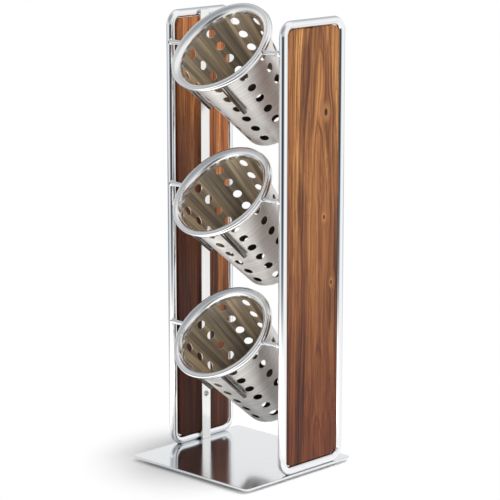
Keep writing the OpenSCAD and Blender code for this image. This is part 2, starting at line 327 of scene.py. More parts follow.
corner_z = CORNER_R - CUP_LEN
corner_top_r = wall_r(corner_z - CORNER_R * np.sin(CUP_TAPER))
corner_c = np.array([corner_top_r - CORNER_R * np.cos(CUP_TAPER), corner_z])
hole_z = np.linspace(wall_start[1] - FIRST_ROW_DROP, corner_z + LAST_ROW_RISE, HOLE_ROWS)
between = (hole_z[1:] + hole_z[:-1]) / 2
cell_top = np.concatenate([[hole_z[0] + CELL_REACH], between])
cell_foot = np.concatenate([between, [hole_z[-1] - CELL_REACH]])
print("rows of holes", hole_z.round(1), "mm below the lip, corner round", corner_c.round(2))

# %% [markdown]
# The lip is one profile that runs up the outside of the flare, round the bead and back down the
# inside. A spinning tool rolls such a bead so that the edge isn't sharp to the hand. The corner
# at the bottom has an outside and an inside profile, a sheet's thickness apart.

# %% Lip and corner
LIP_FLAT, BEAD_R = 0.5, 1.5
BEAD_CLEAR = 0.05       # the flare's points stop this far from the bead
DRAIN_INSET, DRAIN_EDGE = 11.4, 3
FLARE_STEPS, BEAD_STEPS, MOUTH_STEPS, CORNER_STEPS = 24, 28, 16, 10
flare_c = wall_start + FLARE_R * wall_out
bead_c = np.array([flare_c[0] + LIP_FLAT, -BEAD_R])
under = arc(flare_c, FLARE_R, 180 - taper_deg, 90, FLARE_STEPS)
under = under[np.linalg.norm(under - bead_c, axis=1) > BEAD_R + BEAD_CLEAR]
meet = np.degrees(np.arctan2(*(under[-1] - bead_c)[::-1]))
lip_section = np.concatenate([
    [[wall_r(cell_top[0]), cell_top[0]]], under,
    arc(bead_c, BEAD_R, meet, 360 + 90, BEAD_STEPS),
    arc(flare_c, FLARE_R + CUP_WALL, 90, 180 - taper_deg, MOUTH_STEPS),
    [[wall_r(cell_top[0]) - wall_across, cell_top[0]]]])
drain_circle_r = corner_c[0] - DRAIN_INSET
drain_in, drain_out = drain_circle_r / 2, corner_c[0] - DRAIN_EDGE
corner_sections = [np.concatenate([
    [[wall_r(cell_foot[-1]) - across, cell_foot[-1]]],
    arc(corner_c, CORNER_R - sheet, -taper_deg, -90, CORNER_STEPS),
    [[drain_out, sheet - CUP_LEN]]]) for across, sheet in ((0, 0), (wall_across, CUP_WALL))]
print("lip radius", round(bead_c[0] + BEAD_R, 2), "mm, drain circle", round(drain_circle_r, 2), "mm")

# %% [markdown]
# Now the cells are bent round the wall and set round the bottom. A cell is worked out flat and
# then wrapped, so its hole stays round as seen along its own axis, as a punch leaves it.

# %% Cells of a cup
DRAIN_HOLES = 6
DRAIN_STEPS = 8     # steps from the inner to the outer border of a drain's cell


def wall_cells():
    """Cells of the punched wall, each (x, z) place bent to the angle whose chord is x."""
    border = cell_border(ROUND // HOLE_COLUMNS, CELL_UPRIGHT)
    z = cell_foot[:, None] + (cell_top - cell_foot)[:, None] * (border[:, 1] + 1) / 2
    x = wall_r(z) * np.sin(border[:, 0] * np.pi / HOLE_COLUMNS)
    places, depth = punched(np.stack([x, z - hole_z[:, None]], -1))
    z = places[..., 1] + hole_z[:, None, None]
    angle = np.arcsin(places[..., 0] / wall_r(z))
    angle = angle + np.arange(HOLE_COLUMNS)[:, None, None, None] * 2 * np.pi / HOLE_COLUMNS
    radius = wall_r(z) - depth / np.cos(CUP_TAPER)
    return np.stack(np.broadcast_arrays(radius * np.cos(angle), radius * np.sin(angle), z), -1)


def drain_cells():
    """Cells round the drain holes: sectors of a ring, and a disc round the hole in the middle."""
    border = cell_border(DRAIN_STEPS, ROUND // DRAIN_HOLES)
    radius = drain_in + (drain_out - drain_in) * (border[:, 0] + 1) / 2
    angle = border[:, 1] * np.pi / DRAIN_HOLES
    ring = np.stack([radius * np.cos(angle) - drain_circle_r, radius * np.sin(angle)], -1)
    stacks = []
    for places, depth in (punched(ring), punched(circle_path(drain_in, ROUND)[0])):
        level = np.broadcast_to(depth - CUP_LEN, places.shape[:2])
        stacks.append(np.concatenate([places, level[..., None]], -1))
    sector = stacks[0] + [drain_circle_r, 0, 0]
    steps = np.arange(DRAIN_HOLES) * 2 * np.pi / DRAIN_HOLES
    return np.stack([turned(sector, step, 2) for step in steps]), stacks[1]


skin = [(cells, True, False) for cells in (wall_cells(), *drain_cells())]
skin += [(sweep(circle_path(0, ROUND), s), True, False) for s in (lip_section, *corner_sections)]
print("a cup has", HOLE_ROWS * HOLE_COLUMNS, "holes in its wall and", DRAIN_HOLES + 1, "in its bottom")

# %% [markdown]
# The lip and the corner close the cells into one skin. Cups are put back at any angle, so each
# has its own turn about its axis. It hangs in the ring by its flare and leans to the low side.

# %% Cups
RING_DEPTH = 6.25   # from the lip's top down to the ring
CUP_TURN = {"lower": -12, "middle": -8, "upper": 5}     # degrees about the axis
cups = {}

for tier in TIERS:
    mouth = ring_at[tier] + np.array([0, -RING_SLACK, RING_DEPTH]) @ TIER_AXES
    turn = np.radians(CUP_TURN[tier])
    placed = [(turned(grid, turn, 2) @ TIER_AXES + mouth, *closed) for grid, *closed in skin]
    cup = make_piece(tier + "_drawn_cup", tier + "_cup", tier + "_cup", "cup_steel", *placed)
    cups[cup] = mouth

# %% [markdown]
# The finish and colour of a cup change over its surface, and the mesh can carry that as
# attributes. They mark the lip, which is polished, the inside, which isn't and is painted darker
# as painted shade, and the depths, which are painted darker still as painted shade. One more holds
# each point slid onto a single circle, where a pattern comes out as lines along the axis. A UV
# map that runs round the axis gives the brushed finish its direction.

# %% Marks on the cups
POLISH_DEPTH, POLISH_FADE = 10, 4
# Depths over which the inside is painted darker, painted shade inside the cup.
DEEP_SHADE_START, DEEP_SHADE_FADE = 60, 40
AXIS_STRETCH = 0.04     # how much of the height is left in the slid points
UV_HEIGHT = 100         # height of one unit of V


def cup_marks(local):
    """Attributes of the cup's points: ramps over height and over depth below the outer skin."""
    radius, z = np.hypot(local[:, 0], local[:, 1]), local[:, 2]
    sunk = np.minimum((wall_r(z) - radius) * wall_out[0], z + CUP_LEN)
    at_corner = (z < corner_z) & (radius > corner_c[0])
    sunk = np.where(at_corner, CORNER_R - np.hypot(radius - corner_c[0], z - corner_z), sunk)
    ramps = {"lip_polish": (z + POLISH_DEPTH) / POLISH_FADE, "inside": sunk / CUP_WALL,
             "deep": (-z - DEEP_SHADE_START) / DEEP_SHADE_FADE}
    slid = local * MM
    slid[:, :2] *= CUP_TOP_R / np.maximum(radius, 1)[:, None]
    slid[:, 2] *= AXIS_STRETCH
    return {name: np.clip(ramp, 0, 1) for name, ramp in ramps.items()}, slid


def wrap_uv(mesh, local):
    """UV of each corner of a face: turns round the axis, kept together within a face, and height."""
    corner = np.empty(len(mesh.loops), int)
    first = np.empty(len(mesh.polygons), int)
    mesh.loops.foreach_get("vertex_index", corner)
    mesh.polygons.foreach_get("loop_start", first)
    angle = np.arctan2(local[corner, 1], local[corner, 0])
    base = np.repeat(angle[first], np.diff(np.append(first, len(corner))))
    angle = base + (angle - base + np.pi) % (2 * np.pi) - np.pi
    return np.stack([angle / (2 * np.pi), local[corner, 2] / UV_HEIGHT], -1)


for cup, mouth in cups.items():
    mesh = cup.data
    local = np.empty(3 * len(mesh.vertices))
    mesh.vertices.foreach_get("co", local)
    local = (local.reshape(-1, 3) / MM - mouth) @ TIER_AXES.T
    ramps, slid = cup_marks(local)
    for name, values in ramps.items():
        mesh.attributes.new(name, "FLOAT", "POINT").data.foreach_set("value", values)
    mesh.attributes.new("streak_place", "FLOAT_VECTOR", "POINT").data.foreach_set("vector", slid.ravel())
    mesh.uv_layers.new(name="wrap").data.foreach_set("uv", wrap_uv(mesh, local).ravel())
    print(cup.name, "is inside at", round(float((ramps["inside"] > 0.5).mean()), 2), "of its points")

# %% [markdown]
# Plate, panels and strips are flat slabs. The edge of each is broken a little: by tumbling the
# cut plate, by sanding the wood, by drawing the strip. The slab's section runs over its edge, and
# lines just inside the edge keep the flat faces flat in the shading. The plate's underside has
# countersunk holes for the screws that hold the frames, and a fill closes the flat between them.

# %% Plate
PLATE_CORNER, PLATE_EDGE = 6, 0.5
BASE_SCREW_R, BASE_HEAD_R = 1.85, 3.35
SINK_DEPTH, SINK_FLOOR = 1.5, 2.2
SCREW_FROM_BEND = 7
EDGE_LINE = 1.3     # where the line inside an edge lies, in radii of the edge
PLATE_STEPS, SINK_STEPS = 16, 32


def slab(width, height, corner, thickness, edge, steps, underside=True):
    """A rounded rectangle with rounded edges: face, quarter circle, side, quarter circle, face."""
    turn = np.linspace(0, np.pi / 2, EDGE_STEPS)
    rim = np.stack([edge * (np.sin(turn) - 1), thickness / 2 - edge * (1 - np.cos(turn))], -1)
    rim = np.concatenate([[[-edge * EDGE_LINE, thickness / 2]], rim])
    section = np.concatenate([rim, rim[::-1] * [1, -1]])
    grid = sweep(rounded_rectangle(width, height, corner, steps), section)
    caps = [grid[:, :1] * [0, 0, 1], grid] + [grid[:, -1:] * [0, 0, 1]] * underside
    return np.concatenate(caps, 1)


size = plate_high - plate_low
low, high = box_mm("left_frame")
screw_y = high[1] - low[1] - 2 * (rod_d + ROD_BEND + SCREW_FROM_BEND)
sink = np.array([[BASE_HEAD_R, 0], [BASE_SCREW_R, SINK_DEPTH],
                 [BASE_SCREW_R, SINK_FLOOR], [0, SINK_FLOOR]])
places = np.array([[sx * (size[0] - rod_d) / 2, (low + high)[1] / 2 + sy * screw_y / 2, plate_low[2]]
                   for sx in (-1, 1) for sy in (-1, 1)])
sinks = sweep(circle_path(0, SINK_STEPS), sink) + places[:, None, None]
plate = slab(*size[:2], PLATE_CORNER, size[2], PLATE_EDGE, PLATE_STEPS, underside=False)
make_piece("plate_polished", "stand", "base_plate", "polished_steel",
           (plate + (plate_low + plate_high) / 2, True, False), (sinks, True, False), fill=True)

# %% [markdown]
# The boards fit between the rods with their corners rounded to the bends. A drawn steel strip
# runs up the inner face of each board and hides the screws' pilot holes.

# %% Panels and strips
PANEL_CORNER, PANEL_EDGE = 8, 0.8
STRIP_EDGE = 0.3
BOARD_STEPS = 12

for side in SIDES:
    for node, corner, edge, slot in (("_panel", PANEL_CORNER, PANEL_EDGE, "wood"),
                                     ("_strip", 2 * STRIP_EDGE, STRIP_EDGE, "satin_steel")):
        low, high = box_mm(side + node)
        size = high - low
        board = slab(size[1], size[2], corner, size[0], edge, BOARD_STEPS)[..., [2, 0, 1]]
        make_piece(side + node + "_board", "stand", side + node, slot,
                   (board + (low + high) / 2, True, False))

# %% [markdown]
# The strips are held by domed cross-head screws, whose heads are pressed in a die. A head is
# a height over a disc: the dome, less a cross whose walls slope in.

# %% Screw heads
HEAD_R, HEAD_H = 3.5, 2
CROSS_L, CROSS_W, CROSS_DEPTH, CROSS_SLOPE = 4.2, 1.2, 1.2, 0.3
SCREW_MARGIN, SCREW_COUNT = 51, 3
HEAD_RINGS, HEAD_STEPS = 40, 96


def screw_head():
    """Height over a disc: a slice of a ball, lowered inside a cross with sloping walls."""
    rings = np.linspace(0, 1, HEAD_RINGS)
    _, out = circle_path(0, HEAD_STEPS)
    x, y = np.moveaxis(out[:, None] * (rings * HEAD_R)[None, :, None], -1, 0)
    ball = (HEAD_R ** 2 + HEAD_H ** 2) / (2 * HEAD_H)
    dome = np.sqrt(ball ** 2 - x ** 2 - y ** 2) - ball + HEAD_H
    arms = [np.minimum(CROSS_L / 2 - np.abs(a), CROSS_W / 2 - np.abs(b)) for a, b in ((x, y), (y, x))]
    inside = np.clip(np.maximum(*arms) / CROSS_SLOPE, 0, 1)
    height = np.minimum(dome, dome + (HEAD_H - CROSS_DEPTH - dome) * inside)
    grid = np.stack([x, y, np.maximum(height, 0)], -1)
    return np.concatenate([grid, grid[:, -1:] * [0, 0, 1]], 1)


head = screw_head()
for side, sign in zip(SIDES, (-1, 1)):
    low, high = box_mm(side + "_strip")
    x = np.abs([low[0], high[0]]).min() * sign
    z = np.linspace(low[2] + SCREW_MARGIN, high[2] - SCREW_MARGIN, SCREW_COUNT)
    places = np.stack([0 * z + x, 0 * z + (low + high)[1] / 2, z], -1)
    heads = head[..., [2, 0, 1]] * [-sign, 1, 1] + places[:, None, None]
    make_piece(side + "_screw_heads", "stand", side + "_panel_screws", "screw_steel",
               (heads, True, False))

# %% [markdown]
# The feet are moulded rubber buttons with soft edges, so each is a turned profile: out along
# the floor, round the edge, and up the drafted side to the plate. The screws that hold the frames
# keep their CAD shape and only get a finish.

# %% Feet
FOOT_TOP_R, FOOT_R = 6, 5
FOOT_EDGE, FOOT_INSET = 0.6, 16
FOOT_TURN = 18      # degrees below level at which the edge's rounding ends
FOOT_STEPS = 48
edge = arc((FOOT_R - FOOT_EDGE, FOOT_EDGE), FOOT_EDGE, -90, -FOOT_TURN, EDGE_STEPS)
foot = np.concatenate([[[0, 0]], edge, [[FOOT_TOP_R, plate_low[2]], [0, plate_low[2]]]])
spots = np.array([[sx * (plate_high[0] - FOOT_INSET), sy * (plate_high[1] - FOOT_INSET), 0]
                  for sx in (-1, 1) for sy in (-1, 1)])
feet = sweep(circle_path(0, FOOT_STEPS), foot) + spots[:, None, None]
make_piece("moulded_feet", "stand", "rubber_feet", "rubber", (feet, True, False))
finish_of[bpy.data.objects["base_screws"]] = "screw_steel"

# %% [markdown]
# Materials come next. Colours are written as the hex values a painter would pick, and one
# function turns them into the linear values that light is worked out in. Others add a node and
# feed its inputs, with values or with links from other nodes.

# %% Colours and nodes
def colour(hex_code):
    """Linear RGBA of an sRGB hex colour."""
    s = np.array([int(hex_code[i:i + 2], 16) for i in (1, 3, 5)]) / 255
    linear = np.where(s <= 0.04045, s / 12.92, ((s + 0.055) / 1.055) ** 2.4)
    return (*linear.tolist(), 1.0)


def feed(tree, node, inputs):
    """Sets a node's inputs to values, or links them from sockets or from nodes' first outputs."""
    for name, value in inputs.items():
        source = value.outputs[0] if isinstance(value, bpy.types.Node) else value
        if isinstance(source, bpy.types.NodeSocket):
            tree.links.new(source, node.inputs[name])
        else:
            node.inputs[name].default_value = source


def add(tree, kind, inputs=None, stops=(), **settings):
    """Adds a node and feeds it: settings are its properties, and stops the (place, hex colour)
    pairs of a ramp."""
    node = tree.nodes.new("ShaderNode" + kind)
    for name, value in settings.items():
        setattr(node, name, value)
    feed(tree, node, inputs or {})
    for i, (place, code) in enumerate(stops):
        element = node.color_ramp.elements[i] if i < 2 else node.color_ramp.elements.new(place)
        element.position, element.color = place, colour(code)
    return node


def new_material(name):
    """A new material, its node tree and its shader."""
    made = bpy.data.materials.new(name)
    made.use_nodes = True
    return made, made.node_tree, made.node_tree.nodes["Principled BSDF"]


print("middle grey is", round(colour("#808080")[0], 3), "in linear light")

# %% [markdown]
# Most of these finishes are noise at a real size in millimetres, drawn out along a belt, along a
# cup or along the grain. Three more functions make such noise, let an effect fade out, and mix
# colours.

# %% Noise and mixes
NOISE_RANGE = {"From Min": 0.3, "From Max": 0.7}    # where nearly all values of a noise lie


def noise(tree, size_mm, detail, place=None, turn=(0, 0, 0), roughness=0.5):
    """Noise with patches of a size along X, Y and Z, over the object or over a given vector."""
    if place is None:
        place = add(tree, "TexCoord").outputs["Object"]
    size = np.broadcast_to(size_mm, 3) * MM
    drawn = add(tree, "Mapping", {"Vector": place, "Rotation": turn, "Scale": size}, vector_type="TEXTURE")
    return add(tree, "TexNoise", {"Vector": drawn, "Scale": 1.0, "Detail": detail, "Roughness": roughness})


def fade(tree, value, start, end, most):
    """Goes smoothly from most, where the value is at its start, to none at its end."""
    limits = {"From Min": start, "From Max": end, "To Min": most, "To Max": 0.0}
    return add(tree, "MapRange", {"Value": value, **limits}, interpolation_type="SMOOTHSTEP")


def mix(tree, share, first, second, blend="MIX"):
    """The first colour with a share of the second mixed in, or multiplied onto it."""
    return add(tree, "MixRGB", {"Fac": share, "Color1": first, "Color2": second}, blend_type=blend)


print("noise is used from", NOISE_RANGE["From Min"], "to", NOISE_RANGE["From Max"])

# %% [markdown]
# Chrome plate over polished wire mirrors the room. Buffing leaves faint cloudy patches where
# the mirror is a little softer, so only the roughness varies. The prongs get a greyer copy of the
# chrome as painted shade, so that they read dark against the pale cup.

# %% Chrome
def plated(name, tone, cloud_mm, smoothest, roughest):
    """Mirror metal: its roughness drifts between two values over clouds of a width in mm."""
    made, tree, shader = new_material(name)
    rough = add(tree, "MapRange", {"Value": noise(tree, cloud_mm, 3.0), **NOISE_RANGE,
                                   "To Min": smoothest, "To Max": roughest})
    feed(tree, shader, {"Base Color": colour(tone), "Metallic": 1.0, "Roughness": rough})
    print(name, "has", len(tree.nodes), "nodes")
    return made


# A cool hard mirror: the eye reads each rod by the light and dark bands of the room along it.
chrome = plated("chrome_plated_wire", "#F1F2F3", 30, 0.03, 0.08)
# A duller grey mirror, painted shade, so the prongs stand out dark against the pale cup.
shaded_prong_chrome = plated("thinly_plated_prong", "#A6A4A2", 12, 0.03, 0.08)

# %% [markdown]
# The cups are drawn stainless steel. Outside, a belt leaves fine lines round the axis, so light
# spreads along the cup more than across it: an anisotropic mirror with its tangent taken from
# the UV map and turned a quarter. The inside is painted darker and straw-coloured, painted shade
# inside the cup, with streaks along the axis that are partly lines the drawing left and partly
# painted highlights, and it is painted darker still in the depths. The lip is buffed bright.

# %% Cup steel
BELT_LINE, BELT_REACH = 1.2, 120    # real belt lines are under 0.1 mm wide: drawn coarser to show
STREAK = 13                         # width of a drawing streak
SMOOTHEST, ROUGHEST = 0.39, 0.51    # of the satin outside
LIP_SHARE = 0.3                     # roughness left on the lip, as a share

# The eye sees a pale satin tube with one long highlight, a brown-grey inside and a bright rim.
cup_steel, tree, shader = new_material("brushed_stainless_steel")
lines = noise(tree, (BELT_REACH, BELT_REACH, BELT_LINE), 2.0, turn=(np.pi / 4, 0, 0))
satin = add(tree, "ValToRGB", {"Fac": lines}, stops=[(0.3, "#E4E1DC"), (0.7, "#FCFBF9")])
marks = {name: add(tree, "Attribute", attribute_name=name).outputs
         for name in ("streak_place", "inside", "deep", "lip_polish")}
streaks = noise(tree, STREAK, 4.0, marks["streak_place"]["Vector"], roughness=0.7)
# The inside's tone: streaks the drawing left, with painted highlights in the bright gold stop, and painted
# shade in a tone darker than the outside's.
tone = add(tree, "ValToRGB", {"Fac": streaks},
           stops=[(0.34, "#857A6D"), (0.62, "#FFEBC8"), (0.50, "#C2B4A0")])
# Painted shade: the inside is darkened toward the bottom of the cup.
tone = mix(tree, marks["deep"]["Fac"], tone, colour("#4A423A"))
tone = mix(tree, marks["inside"]["Fac"], satin, tone)
tone = mix(tree, marks["lip_polish"]["Fac"], tone, colour("#EFEFEE"))
rough = add(tree, "MapRange", {"Value": lines, **NOISE_RANGE, "To Min": SMOOTHEST, "To Max": ROUGHEST})
polish = add(tree, "MapRange", {"Value": marks["lip_polish"]["Fac"], "To Min": 1.0, "To Max": LIP_SHARE})
rough = add(tree, "Math", {0: rough, 1: polish}, operation="MULTIPLY")
around = add(tree, "Tangent", direction_type="UV_MAP", uv_map="wrap")
feed(tree, shader, {"Base Color": tone, "Metallic": 1.0, "Roughness": rough, "Tangent": around,
                    "Anisotropic": 0.85, "Anisotropic Rotation": 0.25})
print(cup_steel.name, "has", len(tree.nodes), "nodes")

# %% [markdown]
# The base is polished plate. It mirrors the frames that stand on it, with a soft drawn-out haze
# from the polishing belt, which ran from side to side. The strips were drawn lengthwise, and
# the screws are zinc-plated. One function serves all three: fine noise, stretched along the belt.

# %% Plate, strip and screw steel
def brushed(name, tones, smoothest, roughest, line_mm):
    """Metal with belt lines: noise of a size in mm along X, Y and Z varies tone and roughness."""
    made, tree, shader = new_material(name)
    lines = noise(tree, line_mm, 3.0)
    ramp = add(tree, "ValToRGB", {"Fac": lines}, stops=[(0.25, tones[0]), (0.75, tones[1])])
    rough = add(tree, "MapRange", {"Value": lines, **NOISE_RANGE, "To Min": smoothest, "To Max": roughest})
    feed(tree, shader, {"Base Color": ramp, "Metallic": 1.0, "Roughness": rough})
    print(name, "has", len(tree.nodes), "nodes")
    return made


# Real belt lines are finer than 0.1 mm. They are drawn 0.4 to 0.5 mm wide so that they show.
# A clear mirror with a slight haze: the frames and cups show in it, softer as they are farther.
polished_steel = brushed("polished_steel_plate", ("#E2E4E6", "#ECEEF0"), 0.10, 0.16, (80, 0.5, 80))
# A white line up the dark wood, softer than the chrome beside it.
satin_steel = brushed("satin_steel_strip", ("#EAEAE8", "#F4F4F2"), 0.12, 0.20, (0.4, 0.4, 60))
# Small grey glints, with the faint frosting of zinc crystals, drawn 0.8 mm wide to show.
screw_steel = brushed("zinc_plated_screw", ("#C4C5C4", "#D8D8D6"), 0.16, 0.28, (0.8, 0.8, 0.8))

# %% [markdown]
# The feet are black rubber with the dull skin that a sand-blasted mould leaves.

# %% Rubber
GRIT = 0.6      # the mould's grain is finer: drawn coarser to show

# A soft black that gives the eye no highlight, only a dark line under the plate.
rubber, tree, shader = new_material("black_rubber")
grit = noise(tree, GRIT, 2.0)
ramp = add(tree, "ValToRGB", {"Fac": grit}, stops=[(0.3, "#1B1B1B"), (0.7, "#2A2A2A")])
feed(tree, shader, {"Base Color": ramp, "Roughness": 0.7})
print(rubber.name, "has", len(tree.nodes), "nodes")

# %% [markdown]
# The panels are brown hardwood, flat-sawn and oiled. Its grain isn't straight: it sways over
# the length of the board, and it closes in round the knots. So the first step bends the board's
# coordinates the way the grain runs, and every later pattern reads those instead.

# %% Run of the grain
SWAY = (30, 30, 160)                # size of a bend in the grain
SWAY_BY = (0, 12, 250)              # span over which noise slides a point
KNOT_OVAL = (0, 1, 0.6)             # a knot is longer along the grain
KNOT_REACH, KNOT_PULL = 7, 0.85     # in radii, and as a share of the way to the knot


def run_of_grain(tree, place, knots):
    """Coordinates slid by noise, then drawn toward each knot, given as (place, radius) in metres,
    by an amount that falls smoothly to none. Also gives the noise and the distances from knots."""
    sway = noise(tree, SWAY, 2.0, place)
    aside = add(tree, "VectorMath", {0: sway.outputs["Color"], 1: (0.5, 0.5, 0.5)}, operation="SUBTRACT")
    grain = add(tree, "VectorMath", {0: aside, 1: np.array(SWAY_BY) * MM, 2: place},
                operation="MULTIPLY_ADD")
    gaps = []
    for spot, radius in knots:
        off = add(tree, "VectorMath", {0: place, 1: spot}, operation="SUBTRACT")
        oval = add(tree, "VectorMath", {0: off, 1: KNOT_OVAL}, operation="MULTIPLY")
        gap = add(tree, "VectorMath", {0: oval}, operation="LENGTH").outputs["Value"]
        pull = fade(tree, gap, 0.0, KNOT_REACH * radius, -KNOT_PULL)
        aside = add(tree, "VectorMath", {0: off, "Scale": pull}, operation="SCALE")
        grain = add(tree, "VectorMath", {0: aside, 1: (0, 1, 0), 2: grain}, operation="MULTIPLY_ADD")
        gaps.append((gap, radius))
    return grain, sway, gaps


print("the grain slides by up to", SWAY_BY[1] / 2, "mm across and", SWAY_BY[2] / 2, "mm along the board")

# %% [markdown]
# Growth rings are tubes round the pith of the tree. A board cuts them at a slight slant, so its
# face shows long tongues and lines. Noise along the distance from a slanting pith line gives wide
# bands, and narrow ranges of such noise give the thin dark lines of late wood.

# %% Growth rings
BAND = 9
WOOD_STREAK, STREAK_SHARE = (5, 5, 140), 0.35
TONE_STOPS = (0.36, 0.64, 0.45, 0.55)   # of the darkest tone, the lightest and two between
# Spacing, level in the noise and colour of the late wood's lines. A line starts at its level,
# and its darkest place and its end lie a little above that.
LATE_LINES = ((13, 0.42, "#6A3A22"), (7, 0.56, "#86583C"), (4, 0.50, "#A8846A"))
LINE_DARKEST, LINE_END = 0.025, 0.07


def ring_tone(tree, grain, sway, tones, pith, slant):
    """Colour from the distance to a line through pith that leans by slant: bands and late wood."""
    log = add(tree, "Mapping", {"Vector": grain, "Location": pith, "Rotation": (0, slant, 0)},
              vector_type="TEXTURE")
    level = add(tree, "VectorMath", {0: log, 1: (1, 1, 0)}, operation="MULTIPLY")
    ring = add(tree, "VectorMath", {0: level}, operation="LENGTH").outputs["Value"]
    band = add(tree, "TexNoise", {"W": ring, "Scale": 1 / (BAND * MM), "Detail": 4.0, "Roughness": 0.65},
               noise_dimensions="1D")
    blend = mix(tree, STREAK_SHARE, band, noise(tree, WOOD_STREAK, 4.0, grain))
    tone = add(tree, "ValToRGB", {"Fac": blend}, stops=list(zip(TONE_STOPS, tones)))
    strength = add(tree, "MapRange", {"Value": sway, "From Min": 0.35, "From Max": 0.6, "To Min": 0.2})
    for spacing, lowest, dark in LATE_LINES:
        edge = add(tree, "TexNoise", {"W": ring, "Scale": 1 / (spacing * MM), "Detail": 1.0},
                   noise_dimensions="1D")
        line = add(tree, "ValToRGB", {"Fac": edge},
                   stops=[(lowest, "#FFFFFF"), (lowest + LINE_END, "#FFFFFF"),
                          (lowest + LINE_DARKEST, dark)])
        tone = mix(tree, strength, tone, line, "MULTIPLY")
    return tone


print("rings about", BAND, "mm wide, with dark lines every", [line[0] for line in LATE_LINES], "mm")

# %% [markdown]
# Fibres and open pores run along the grain on top of the rings. Each board also darkens along one
# direction: the right one toward its bottom, and the left one toward its lower front edge, where
# the darkening is painted shade. A knot has a pale halo and a dark eye. Oil leaves the surface
# dull, with the fibres just felt, so the fibres also give a slight bump.

# %% Boards
# Real fibres and pores are 0.1 to 0.3 mm wide. They are drawn coarser to show.
FIBRE, PORE = (1.6, 1.6, 40), (1.1, 1.1, 9)
FIBRE_SHADE, FIBRE_RELIEF = 0.8, 0.1
# A stain is full up to one distance from a knot's middle and gone at another, both in radii.
HALO, EYE = (1.0, 3.2, 0.4, "#C08A4E"), (0.6, 1.1, 0.97, "#1E0E06")


def wood(name, tones, pith, slant, knots, darker_along):
    """Oiled board: ring colours, then fibres, pores, a darkening along darker_along's direction
    between two distances, which on the left board is painted shade, and the knots' halo and eye by
    distance over radius."""
    made, tree, shader = new_material(name)
    grain, sway, gaps = run_of_grain(tree, add(tree, "TexCoord").outputs["Object"], knots)
    tone = ring_tone(tree, grain, sway, tones, pith, slant)
    fibre = noise(tree, FIBRE, 3.0, grain)
    shade = add(tree, "ValToRGB", {"Fac": fibre}, stops=[(0.38, "#BCAA9A"), (0.60, "#FFFFFF")])
    tone = mix(tree, FIBRE_SHADE, tone, shade, "MULTIPLY")
    pore = add(tree, "MapRange", {"Value": noise(tree, PORE, 1.0, grain), "From Min": 0.62,
                                  "From Max": 0.72, "To Max": 0.45})
    tone = mix(tree, pore, tone, colour("#4A2B1A"))
    axis, start, end, dark = darker_along
    depth = add(tree, "VectorMath", {0: grain, 1: axis}, operation="DOT_PRODUCT").outputs["Value"]
    # Darker along one direction: on the left board this is painted shade toward its lower front edge.
    tone = mix(tree, fade(tree, depth, start, end, 1.0), tone, colour(dark), "MULTIPLY")
    for gap, radius in gaps:
        for start, end, most, stain in (HALO, EYE):
            near = fade(tree, gap, start * radius, end * radius, most)
            tone = mix(tree, near, tone, colour(stain))
    relief = add(tree, "Bump", {"Height": fibre, "Strength": 0.2, "Distance": FIBRE_RELIEF * MM})
    feed(tree, shader, {"Base Color": tone, "Roughness": 0.5, "Specular IOR Level": 0.3, "Normal": relief})
    print(name, "has", len(tree.nodes), "nodes and", len(knots), "knots")
    return made


# Warm golden brown above, going to red-brown below, with lines that bend round a few small knots.
right_wood = wood("oiled_hardwood_right", ("#7E4B26", "#D69F60", "#A96D3A", "#C4894A"),
                  pith=(0.097, 0.028, 0.0), slant=0.03,
                  knots=[((0, 0.0386, 0.3807), 0.0027), ((0, 0.0367, 0.2716), 0.0016),
                         ((0, 0.0483, 0.2010), 0.0016)],
                  darker_along=((0, 0, 1), 0.0, 0.46, "#A68078"))
# A redder board, painted lighter and more orange than the right one as painted light, and
# nearly black-brown toward its lower front edge as painted shade.
left_wood_painted_light_and_shade = wood("oiled_hardwood_left_painted_light_and_shade", ("#864C26", "#FFB66A", "#BE703C", "#E0944E"),
                 pith=(-0.090, 0.004, 0.0), slant=0.02, knots=[((0, 0.0420, 0.1500), 0.0015)],
                 darker_along=((0, 4, 1), 0.15, 0.62, "#6C4E40"))

# %% [markdown]
# Each piece gets the finish of its slot. The two boards have their own wood, the left one with
# painted light and shade, and the prongs their greyer chrome of painted shade.

# %% Finishes on the pieces
finishes = {"chrome": chrome, "cup_steel": cup_steel, "polished_steel": polished_steel,
            "satin_steel": satin_steel, "screw_steel": screw_steel, "rubber": rubber}
for piece, slot in finish_of.items():
    made = finishes.get(slot) or (left_wood_painted_light_and_shade if piece.name.startswith("left") else right_wood)
    piece.data.materials.clear()
    # The prongs take the greyer chrome, painted shade.
    piece.data.materials.append(shaded_prong_chrome if piece.name.endswith("prong") else made)
print(len(finish_of), "pieces carry", len({piece.data.materials[0] for piece in finish_of}), "materials")

# %% [markdown]
# The holder stands on a white table in a studio. The table near it is matt and keeps its shadow,
# and farther out it glows softly into the white background, with a strength of 1.

# %% White table
TABLE = 12                          # metres from the middle to an edge
MATT_TO, GLOW_FROM = 0.09, 0.18     # metres from the middle


def link_stage(name, mesh):
    """An object of the stage, with a material of its own."""
    made = bpy.data.objects.new(name, mesh)
    bpy.context.scene.collection.objects.link(made)
    finish, tree, shader = new_material(name)
    mesh.materials.append(finish)
    return made, tree, shader


